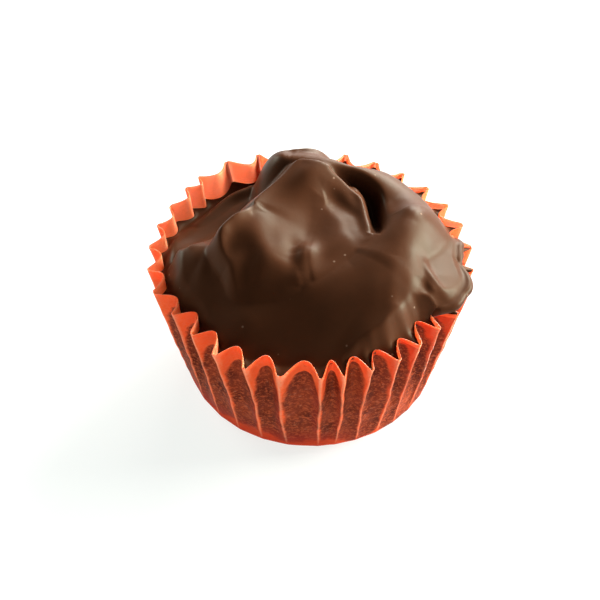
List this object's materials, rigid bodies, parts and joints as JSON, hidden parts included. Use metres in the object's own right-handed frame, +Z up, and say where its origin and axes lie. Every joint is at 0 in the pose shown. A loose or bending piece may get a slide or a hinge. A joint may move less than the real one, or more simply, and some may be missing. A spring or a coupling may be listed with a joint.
{
  "type": "chocolate pecan cup",
  "caption": "Chocolate candy cup with a swirled, folded top and a flap over the rim, sitting in its pleated paper case.",
  "frame": {"origin": "centre of the bounding box on the resting plane, under the paper case", "axes": "+Z up through the cup, -Y towards the side that the picture looks at, +X to the picture's right"},
  "size_m": [0.0466, 0.0468, 0.0314],
  "materials": {
    "paper_case": "thin pleated baking paper, matt red-orange, darkened by grease where the chocolate touches it",
    "chocolate": null
  },
  "bodies": {
    "root": {"paper_case": "paper_case", "chocolate": "chocolate"}
  },
  "joints": []
}
